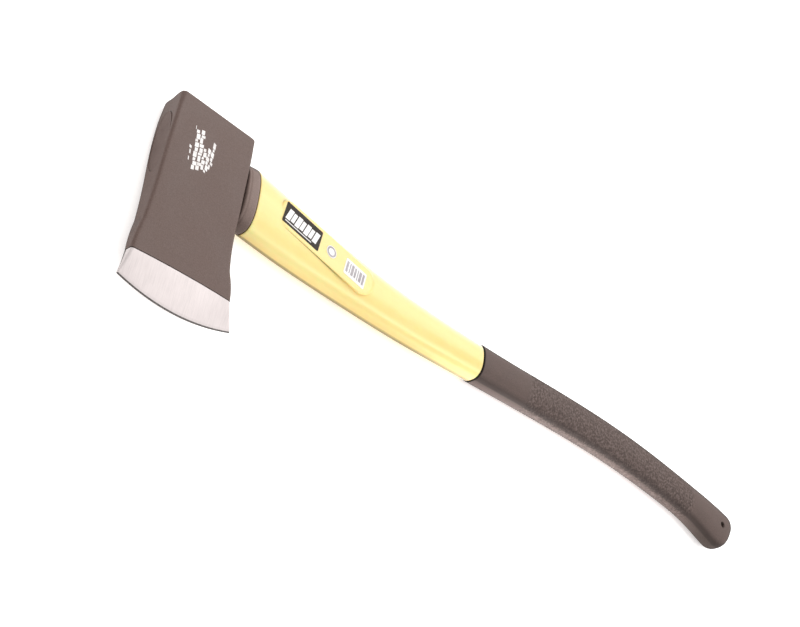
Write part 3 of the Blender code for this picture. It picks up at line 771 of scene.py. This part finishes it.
def bend_ring(progress):
    """Painted section between the straight ones and the bevel line."""
    ends = []
    for side_x, (bevel_x, bevel_y) in ((crown_x, BEVEL[0]), (heel_x, BEVEL[1])):
        x = side_x(lerp(STRAIGHT_END_Y, bevel_y, progress))
        ends.append(lerp(x, bevel_x, progress))
    columns = []
    for share in SHARES:
        y = lerp(STRAIGHT_END_Y, line_point(BEVEL, share)[1], progress)
        half = cheek_half(y)
        columns.append((lerp(*ends, share), y, half, min(CHEEK_EDGE_R, 0.9 * half)))
    return head_ring(columns, columns[0][3])


def bit_ring(progress):
    """Ground section between the bevel line and the cutting edge."""
    columns = []
    for share in SHARES:
        bevel_x, bevel_y = line_point(BEVEL, share)
        edge_x, edge_y = line_point(EDGE, share)
        if progress <= LAND:
            half = lerp(cheek_half(bevel_y), LAND_HALF, progress / LAND) \
                + BELLY * math.sin(math.pi * progress / LAND)
        else:
            half = lerp(LAND_HALF, TIP_HALF, (progress - LAND) / (1 - LAND))
        columns.append((lerp(bevel_x, edge_x, progress), lerp(bevel_y, edge_y, progress),
                        half, min(CHEEK_EDGE_R, 0.85 * half)))
    return head_ring(columns, columns[0][3])


def painted_rings():
    start = POLL_Y - POLL_R
    rings = []
    for k in range(POLL_STEPS + 1):
        angle = math.pi / 2 * (1 - k / POLL_STEPS)
        rings.append(body_ring(start + POLL_R * math.sin(angle),
                               POLL_R - POLL_R * math.cos(angle)))
    rings += [body_ring(start - depth) for depth in POLL_ROWS]
    rings += [body_ring(lerp(start - POLL_ROWS[-1], STRAIGHT_END_Y, k / BODY_ROWS))
              for k in range(1, BODY_ROWS)]
    rings += [bend_ring(k / BEND_ROWS) for k in range(BEND_ROWS)]
    rings.append(bend_ring(LAST_PAINTED))
    return rings


def close_edge(bm, edge):
    """Close the cutting edge and its two ends, all honed."""
    low_start = COLUMNS + SIDE_POINTS
    low_end = low_start + COLUMNS - 1
    loops = [(edge[i], edge[i + 1], edge[low_end - 1 - i], edge[low_end - i])
             for i in range(COLUMNS - 1)]
    loops += [edge[COLUMNS - 1:low_start + 1], edge[low_end:] + [edge[0]]]
    for loop in loops:
        bm.faces.new(loop).material_index = 2


def eye_outline(width, thick, count):
    return [oval_point(2 * math.pi * (k + 0.5) / count, width, thick, EYE_POWER)
            for k in range(count)]


def eye_mouth(side_x, sign, size, lip):
    """Half of the eye tool, from outside the head inwards; sign +1 is the heel."""
    rings = []
    for depth, grow in zip(LIP_DEPTHS, lip):
        outline = eye_outline(size[0] + 2 * grow, size[1] + 2 * grow, 120)
        rings.append([(sign * EYE_TOOL_X if depth is None else side_x(y) - sign * depth, y, z)
                      for y, z in outline])
    return rings


def build_head(paint, steel, honed, lip):
    painted = painted_rings()
    bit = [0.0, 0.015] + [LAND * k / GROUND_ROWS for k in range(1, GROUND_ROWS)]
    bit += [LAND, LAND + 0.01, 1.0]
    bm = bmesh.new()
    rings = [[bm.verts.new(place(p)) for p in ring]
             for ring in painted + [bit_ring(progress) for progress in bit]]
    # Faces along the lower crown edge of the bit are honed too.
    low_arc = 2 * COLUMNS + SIDE_POINTS
    for k, (low, high) in enumerate(zip(rings[:-1], rings[1:])):
        row = k - len(painted)
        for i, face in enumerate(strip(bm, low, high)):
            if row >= 0:
                on_side = low_arc + 1 <= i <= low_arc + ARC
                face.material_index = 2 if bit[row] >= LAND or on_side else 1
            elif row == -1:
                face.material_index = 3
    bm.faces.new(list(reversed(rings[0])))                # poll face
    close_edge(bm, rings[-1])
    head = mesh_object(bm, "painted_head", None, paint, steel, honed, lip)

    # The eye runs right through, with a small rounded lip at each mouth.
    boolean(head, 'DIFFERENCE', "eye_tool",
            eye_mouth(crown_x, -1, EYE_CROWN, CROWN_LIP)
            + eye_mouth(heel_x, 1, EYE_HEEL, HEEL_LIP)[::-1])
    shade(head.data, math.radians(38))
    piece(head, "head_paint", "axe_head")


def build_cap(mat):
    """The plug that closes the crown, slightly dished and raised at the wall."""
    def outline(gap, share):
        return eye_outline((EYE_CROWN[0] - gap) * share, (EYE_CROWN[1] - gap) * share, 96)

    rings = [[(CAP_X + CAP_SLOPE * y - lift, y, z) for y, z in outline(CAP_FACE_GAP, share)]
             for share, lift in CAP_FACE]
    rings += [[(x, y, z) for y, z in outline(CAP_BACK_GAP, share)] for share, x in CAP_BACK]
    piece(mesh_object(skin(rings), "crown_plug", 0.9, mat), "cap_resin", "crown_cap")


# ==================================================================== collar
def build_collar(mat):
    """Flares from the head to meet the handle's shoulder, with one shallow step."""
    inner = (TENON[0] + 2 * GAP, TENON[1] + 2 * GAP)
    rings = [section(COLLAR_X0, *inner, EYE_POWER, COLLAR_COUNT)]
    for along, inset in COLLAR_PROFILE:
        share = along / COLLAR_PROFILE[-1][0]
        width, thick = (lerp(start, end, share) - 2 * inset
                        for start, end in zip(COLLAR_HEAD_END, COLLAR_HANDLE_END))
        rings.append(section(lerp(COLLAR_X0, COLLAR_X1, share), width, thick,
                             count=COLLAR_COUNT))
    rings.append(section(COLLAR_X1, *inner, EYE_POWER, COLLAR_COUNT))
    collar = mesh_object(skin(rings, closed=True), "collar_moulding", 0.8, mat)
    piece(collar, "collar_black", "overstrike_collar")


# ==================================================================== handle
def under_grip(x, share=1.0, gap=0.0, count=96):
    """Section of the jacket inside the grip's wall."""
    size_x = min(x, JACKET_END_X)
    return section(x, (grip_width(size_x) - 2 * GRIP_WALL) * share + 2 * gap,
                   (grip_thick(size_x) - 2 * GRIP_WALL) * share + 2 * gap, count=count)


def pad_outline(inset):
    corners = []
    for x, (y, slope), sign_x, sign_y in ((PAD_X0, PAD_LOW, 1, 1), (PAD_X1, PAD_LOW, -1, 1),
                                          (PAD_X1, PAD_HIGH, -1, -1),
                                          (PAD_X0, PAD_HIGH, 1, -1)):
        corners.append(Vector((x + sign_x * inset * PAD_END_INSET,
                               y + slope * (x - PAD_X0) + sign_y * inset)))
    points = []
    for k, here in enumerate(corners):
        radius = PAD_RADII[k] - inset
        before = (corners[k - 1] - here).normalized()
        after = (corners[(k + 1) % 4] - here).normalized()
        half = before.angle(after) / 2
        reach = radius / math.tan(half)
        middle = here + (before + after).normalized() * (radius / math.sin(half))
        first = here + before * reach - middle
        last = here + after * reach - middle
        start = math.atan2(first.y, first.x)
        turn = math.remainder(math.atan2(last.y, last.x) - start, 2 * math.pi)
        for i in range(13):
            angle = start + turn * i / 12
            points.append((middle.x + radius * math.cos(angle),
                           middle.y + radius * math.sin(angle)))
    return points


def build_jacket(mat):
    def seam(z):
        return JACKET_SEAM * (1 - smooth(abs(z), *JACKET_SEAM_SPAN))

    # Bore for the core, from its blind end back to the tenon's open end.
    blind = CORE_X1 + GAP + CORE_END_GAP
    rings = [section(lerp(blind, TENON_X0, k / 24), CORE[0] + 2 * GAP, CORE[1] + 2 * GAP,
                     CORE_POWER) for k in range(25)]
    rings.append(section(TENON_X0, TENON[0] - 2 * TENON_CHAMFER, TENON[1] - 2 * TENON_CHAMFER,
                         EYE_POWER))
    for x in (TENON_X0 + TENON_CHAMFER, -20.0, 0.0, 20.0, 40.0, SHOULDER_X):
        rings.append(section(x, *TENON, EYE_POWER))
    rings += rounded_rim(SHOULDER_X, jacket_width, jacket_thick, steps=5)
    # Open length, with a fine parting line.
    start, end, rows = SHOULDER_X + RIM_R, GRIP_X - MOUTH_GAP, 150
    for k in range(1, rows + 1):
        x = lerp(start, end, k / rows)
        fade = smooth(x, start, start + 6)
        rings.append(section(x, jacket_width(x), jacket_thick(x),
                             grow=lambda share, z, fade=fade: fade * seam(z)))
    # Length inside the grip, and its tapered tip.
    rings += [under_grip(lerp(end, JACKET_TIP_X, k / 30)) for k in range(31)]
    for along, share in ((2.0, 0.975), (3.6, 0.9), (5.0, 0.8), (6.0, 0.68)):
        rings.append(under_grip(JACKET_TIP_X + along, share))
    jacket = mesh_object(skin(rings), "jacket_moulding", None, mat)

    # Raised flat panel on both faces, with a softened rim.
    for sign in (1, -1):
        boolean(jacket, 'UNION', "pad_tool",
                [[(x, y, sign * z) for x, y in pad_outline(inset)] for inset, z in PAD_LEVELS])
    shade(jacket.data, math.radians(32))
    piece(jacket, "jacket_yellow", "handle_jacket")


def triangle(phase):
    return 1 - abs(2 * (phase - math.floor(phase)) - 1)


def build_grip(mat):
    # Inside, from the blind end back to the mouth.
    rings = []
    for along, share in ((0.0, 0.68), (1.0, 0.8), (2.4, 0.9)):
        rings.append(under_grip(JACKET_END_X + GAP - along, share, GAP, GRIP_COUNT))
    rings += [under_grip(lerp(JACKET_TIP_X, GRIP_X, k / 16), 1.0, GAP, GRIP_COUNT)
              for k in range(17)]
    rings += rounded_rim(GRIP_X, grip_width, grip_thick, steps=4, count=GRIP_COUNT)

    start, stop = GRIP_X + RIM_R, BUTT_X - BUTT_ROUND
    cells = round((KNURL_X1 - KNURL_X0) / KNURL_PITCH)
    plain = round((KNURL_X0 - start) / PLAIN_STEP)
    knob = round((stop - KNURL_X1) / KNOB_STEP)
    stations = [lerp(start, KNURL_X0, k / plain) for k in range(1, plain)]
    stations += [lerp(KNURL_X0, KNURL_X1, k / (4 * cells)) for k in range(4 * cells + 1)]
    stations += [lerp(KNURL_X1, stop, k / knob) for k in range(1, knob + 1)]
    for x in stations:
        along = (x - KNURL_X0) / (KNURL_X1 - KNURL_X0) * cells
        fade = smooth(x, KNURL_X0, KNURL_X0 + KNURL_FADE) \
            * (1 - smooth(x, KNURL_X1 - KNURL_FADE, KNURL_X1))

        def grow(share, z, along=along, fade=fade):
            """Crossed ridges, with a smooth strip and a seam at the parting line."""
            strip_fade = smooth(abs(z), *KNURL_STRIP)
            around = KNURL_ROUND * share
            height = min(triangle(around + along), triangle(around - along))
            return fade * strip_fade * KNURL_HEIGHT * (height - KNURL_LEVEL) \
                + GRIP_SEAM * (1 - smooth(abs(z), *GRIP_SEAM_SPAN))

        rings.append(section(x, grip_width(x), grip_thick(x), count=GRIP_COUNT, grow=grow))
    for k in range(1, 13):                               # domed butt
        angle = math.pi / 2 * k / 12
        x = stop + BUTT_ROUND * math.sin(angle)
        share = 0.5 + 0.5 * math.cos(angle)
        rings.append(section(x, grip_width(x) * share, grip_thick(x) * share,
                             count=GRIP_COUNT))
    grip = mesh_object(skin(rings), "grip_moulding", None, mat)

    # Hole through the butt, with rounded lips.
    levels = [(-z, grown) for z, grown in HOLE_LIP] + list(reversed(HOLE_LIP))
    boolean(grip, 'DIFFERENCE', "hole_tool",
            [[(x, y, z) for x, y in circle(HOLE_X, HOLE_Y, HOLE_R + grown, 48)]
             for z, grown in levels])
    shade(grip.data, math.radians(42))
    piece(grip, "grip_rubber", "grip_sleeve")


# ==================================================================== labels
def turned(x, y, degrees, along, across):
    """Point in a frame turned by degrees about (x, y)."""
    angle = math.radians(degrees)
    return (x + along * math.cos(angle) - across * math.sin(angle),
            y + along * math.sin(angle) + across * math.cos(angle))


def plate_points(x, y, length, width, degrees):
    """Rectangle with rounded corners."""
    points = []
    for sign_x, sign_y, start in ((1, 1, 0), (-1, 1, 90), (-1, -1, 180), (1, -1, 270)):
        for k in range(7):
            angle = math.radians(start + 15 * k)
            along = sign_x * (length / 2 - LABEL_CORNER) + LABEL_CORNER * math.cos(angle)
            across = sign_y * (width / 2 - LABEL_CORNER) + LABEL_CORNER * math.sin(angle)
            points.append(turned(x, y, degrees, along, across))
    return points


def slab(name, outline, height, mat):
    """Thin sheet on the panel with a softened top rim."""
    mid_x = sum(p[0] for p in outline) / len(outline)
    mid_y = sum(p[1] for p in outline) / len(outline)

    def ring(inset, z):
        points = []
        for x, y in outline:
            reach = math.hypot(x - mid_x, y - mid_y)
            share = (reach - inset) / reach
            points.append((mid_x + (x - mid_x) * share, mid_y + (y - mid_y) * share, z))
        return points
    top = LABEL_Z + height
    bm = skin([ring(0, PAD_Z - SINK), ring(0, top - LABEL_RIM), ring(LABEL_RIM, top)])
    return mesh_object(bm, name, 0.5, mat)


def patch(bm, quad, surface, thick):
    """Closed thin block on a surface z(x, y), gridded between four (x, y) corners."""
    (x0, y0), (x1, y1), (x2, y2), (x3, y3) = quad
    length = max(math.hypot(x1 - x0, y1 - y0), math.hypot(x2 - x3, y2 - y3))
    width = max(math.hypot(x3 - x0, y3 - y0), math.hypot(x2 - x1, y2 - y1))
    cols, rows = max(1, round(length / PRINT_CELL)), max(1, round(width / PRINT_CELL))

    def between(u, v, c0, c1, c2, c3):
        return (1 - u) * (1 - v) * c0 + u * (1 - v) * c1 + u * v * c2 + (1 - u) * v * c3

    top, low = [], []
    for i in range(cols + 1):
        top.append([])
        low.append([])
        for j in range(rows + 1):
            x = between(i / cols, j / rows, x0, x1, x2, x3)
            y = between(i / cols, j / rows, y0, y1, y2, y3)
            z = surface(x, y)
            top[i].append(bm.verts.new(place((x, y, z + thick))))
            low[i].append(bm.verts.new(place((x, y, z - SINK))))
    for i in range(cols):
        for j in range(rows):
            bm.faces.new((top[i][j], top[i + 1][j], top[i + 1][j + 1], top[i][j + 1]))
            bm.faces.new((low[i][j], low[i][j + 1], low[i + 1][j + 1], low[i + 1][j]))
    for i in range(cols):
        bm.faces.new((top[i][0], low[i][0], low[i + 1][0], top[i + 1][0]))
        bm.faces.new((top[i + 1][rows], low[i + 1][rows], low[i][rows], top[i][rows]))
    for j in range(rows):
        bm.faces.new((top[0][j + 1], low[0][j + 1], low[0][j], top[0][j]))
        bm.faces.new((top[cols][j], low[cols][j], low[cols][j + 1], top[cols][j + 1]))


def patches(name, quads, surface, thick, mat):
    bm = bmesh.new()
    for quad in quads:
        patch(bm, quad, surface, thick)
    return mesh_object(bm, name, 0.5, mat)


def turned_quads(x, y, degrees, boxes, slant=0.0):
    """Boxes (along, across, length, height) in a turned frame; slant shears them."""
    quads = []
    for along, across, length, height in boxes:
        shift = slant * height
        quads.append([turned(x, y, degrees, *point) for point in (
            (along, across), (along + length, across),
            (along + length + shift, across + height), (along + shift, across + height))])
    return quads


def bar_row(start, lengths, gaps, bottoms, heights):
    """Boxes side by side; gaps, bottoms and heights repeat in turn."""
    boxes, along = [], start
    for k, length in enumerate(lengths):
        boxes.append((along, bottoms[k % 2], length, heights[k % 2]))
        along += length + gaps[k % len(gaps)]
    return boxes


def build_main_label(dark, print_white):
    """Dark film with a broken band of slanted blocks over a thin line."""
    label = slab("name_label", plate_points(*MAIN_LABEL), 0.16, dark)
    piece(label, "label_dark", "main_label")
    x, y, length, _, degrees = MAIN_LABEL
    blocks = bar_row(start=-length / 2 + 2.2, lengths=(5.0, 3.9, 5.0, 3.9, 5.0, 3.9, 5.0),
                     gaps=(0.95,), bottoms=(-6.2, -5.4), heights=(12.2, 10.6))
    line = (-length / 2 + 2.6, -8.6, length - 12.0, 0.9)
    quads = turned_quads(x, y, degrees, blocks, slant=0.22)
    quads += turned_quads(x, y, degrees, [line])
    band = patches("label_band", quads, lambda px, py: LABEL_Z + 0.17, PRINT_THICK,
                   print_white)
    piece(band, "sticker_pale")


def build_round_sticker(pale, grey):
    """Pale disc with a raised ring."""
    disc = slab("round_seal", circle(ROUND_X, ROUND_Y, ROUND_D / 2), 0.14, pale)
    piece(disc, "sticker_pale", "round_sticker")
    rings = [[(x, y, LABEL_Z + height) for x, y in circle(ROUND_X, ROUND_Y, radius)]
             for radius, height in SEAL_RING]
    piece(mesh_object(skin(rings, closed=True), "seal_ring", 0.5, grey), "sticker_pale")


def build_bar_sticker(pale, grey):
    """Plain upright bars of different widths."""
    sticker = slab("price_sticker", plate_points(*BAR_STICKER), 0.14, pale)
    piece(sticker, "sticker_pale", "barcode_sticker")
    x, y, length, _, degrees = BAR_STICKER
    bars = bar_row(start=-length / 2 + 1.6, lengths=(2.5, 1.2, 2.9, 2.2, 1.0, 3.0, 2.4),
                   gaps=(1.5, 1.1, 1.1), bottoms=(-5.6, -5.1), heights=(11.6, 10.7))
    code = patches("sticker_bars", turned_quads(x, y, degrees, bars),
                   lambda px, py: LABEL_Z + 0.13, PRINT_THICK, grey)
    piece(code, "sticker_pale")


def build_cheek_print(mat):
    """White print on the upper cheek: broken columns of small blocks, no words."""
    quads = []
    for x, y, degrees, width, lengths, gap in PRINT_COLUMNS:
        boxes, along = [], 0.0
        for k, length in enumerate(lengths):
            if length:
                trim = PRINT_TRIMS[(k + len(lengths)) % 4]
                boxes.append((along, -width / 2 + PRINT_SHIFTS[k % 3], length, width - trim))
            along += length + gap
        quads += turned_quads(x, y, degrees, boxes, PRINT_SLANTS[len(lengths) % 2])
    piece(patches("cheek_print", quads, cheek_z, CHEEK_PRINT_THICK, mat), "sticker_pale")


# =============================================================== assemble it
build_head(head_paint(), ground_steel(), honed_steel_painted_dark(), scorched_paint())
build_cap(cap_resin())
build_collar(collar_black())
build_jacket(jacket_yellow())
build_grip(grip_rubber())
label_film = film("label_film", low=(0.016, 0.012, 0.009), high=(0.042, 0.032, 0.024), rough=0.6)
paper = film("sticker_paper", low=(0.80, 0.79, 0.79), high=(0.90, 0.895, 0.89), rough=0.6)
white = film("white_print", low=(0.82, 0.80, 0.79), high=(0.93, 0.92, 0.91), rough=0.5)
grey_ink = film("grey_print", low=(0.34, 0.31, 0.33), high=(0.48, 0.45, 0.47), rough=0.6)
build_main_label(label_film, white)
build_round_sticker(paper, grey_ink)
build_bar_sticker(paper, grey_ink)
build_cheek_print(film("white_transfer", low=(0.70, 0.67, 0.66), high=(0.92, 0.90, 0.89),
                       rough=0.5))

# These CAD pieces keep their shape and only take a material.
for node, inner_mat in (("fibreglass_core", glass_fibre()), ("eye_resin", resin_amber()),
                        ("resin_dam", dam_foam())):
    for material_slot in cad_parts[node].material_slots:
        material_slot.material = inner_mat


# ===================================================================== stage
def make_floor():
    bm = bmesh.new()
    bmesh.ops.create_grid(bm, x_segments=8, y_segments=8, size=FLOOR_SIZE)
    mesh = bpy.data.meshes.new("studio_floor")
    bm.to_mesh(mesh)
    bm.free()
    mesh.materials.append(floor_white())
    obj = bpy.data.objects.new("studio_floor", mesh)
    obj.location = FLOOR_AT
    bpy.context.scene.collection.objects.link(obj)


def area_light(name, direction, distance, size, energy, colour=(1, 1, 1)):
    data = bpy.data.lights.new(name, 'AREA')
    data.shape = 'DISK'
    data.size = size
    data.energy = energy
    data.color = colour
    obj = bpy.data.objects.new(name, data)
    away = Vector(direction).normalized()
    obj.location = Vector(LIGHT_AIM) + away * distance
    obj.rotation_mode = 'QUATERNION'
    obj.rotation_quaternion = (-away).to_track_quat('-Z', 'Y')
    bpy.context.scene.collection.objects.link(obj)


def make_world(towards, dim, bright, seen):
    """A white tent, brightest in one direction; the camera sees it plain."""
    world = bpy.data.worlds.new("studio_world")
    tent = Nodes(world, coord="Generated")
    dot = tent.put("ShaderNodeVectorMath", {0: tent.coord, 1: Vector(towards).normalized()},
                   operation='DOT_PRODUCT').outputs["Value"]
    span = tent.remap(dot, to=(dim, bright), source=(-0.15, 0.95),
                      interpolation_type='SMOOTHSTEP')
    background = tent.tree.nodes["Background"].inputs
    tent.feed(background["Color"], TENT_COLOUR)
    tent.feed(background["Strength"], tent.for_camera(seen=seen, otherwise=span))
    bpy.context.scene.world = world


def make_camera():
    azimuth, elevation, roll = map(math.radians,
                                   (CAMERA_AZIMUTH, CAMERA_ELEVATION, CAMERA_ROLL))
    back = Vector((math.sin(azimuth) * math.cos(elevation),
                   -math.cos(azimuth) * math.cos(elevation), math.sin(elevation)))
    level = (-back).cross(Vector((0, 0, 1))).normalized()
    upright = level.cross(-back)
    right = math.cos(roll) * level + math.sin(roll) * upright
    up = -math.sin(roll) * level + math.cos(roll) * upright
    data = bpy.data.cameras.new("photo_camera")
    data.sensor_fit = 'HORIZONTAL'
    data.sensor_width = 36.0
    data.lens = 72.66
    data.clip_start = 0.05
    data.clip_end = 60.0
    camera = bpy.data.objects.new("photo_camera", data)
    camera.matrix_world = Matrix(((right.x, up.x, back.x, 0), (right.y, up.y, back.y, 0),
                                  (right.z, up.z, back.z, 0), (0, 0, 0, 1)))
    camera.location = Vector(CAMERA_TARGET) + back * CAMERA_DISTANCE
    bpy.context.scene.collection.objects.link(camera)
    bpy.context.scene.camera = camera


make_floor()
area_light("key", direction=(0.45, 0.62, 0.64), distance=2.4, size=1.5, energy=21.4,
           colour=(1.0, 0.985, 0.97))
area_light("streak", direction=(0.59, -0.37, 0.71), distance=2.4, size=0.9, energy=14.0)
make_world(towards=(0.15, 0.55, 0.82), dim=0.42, bright=1.22, seen=1.05)
make_camera()
settings = bpy.context.scene.view_settings
settings.view_transform = 'Standard'
settings.look = 'None'
settings.exposure = 0.0
settings.gamma = 1.0
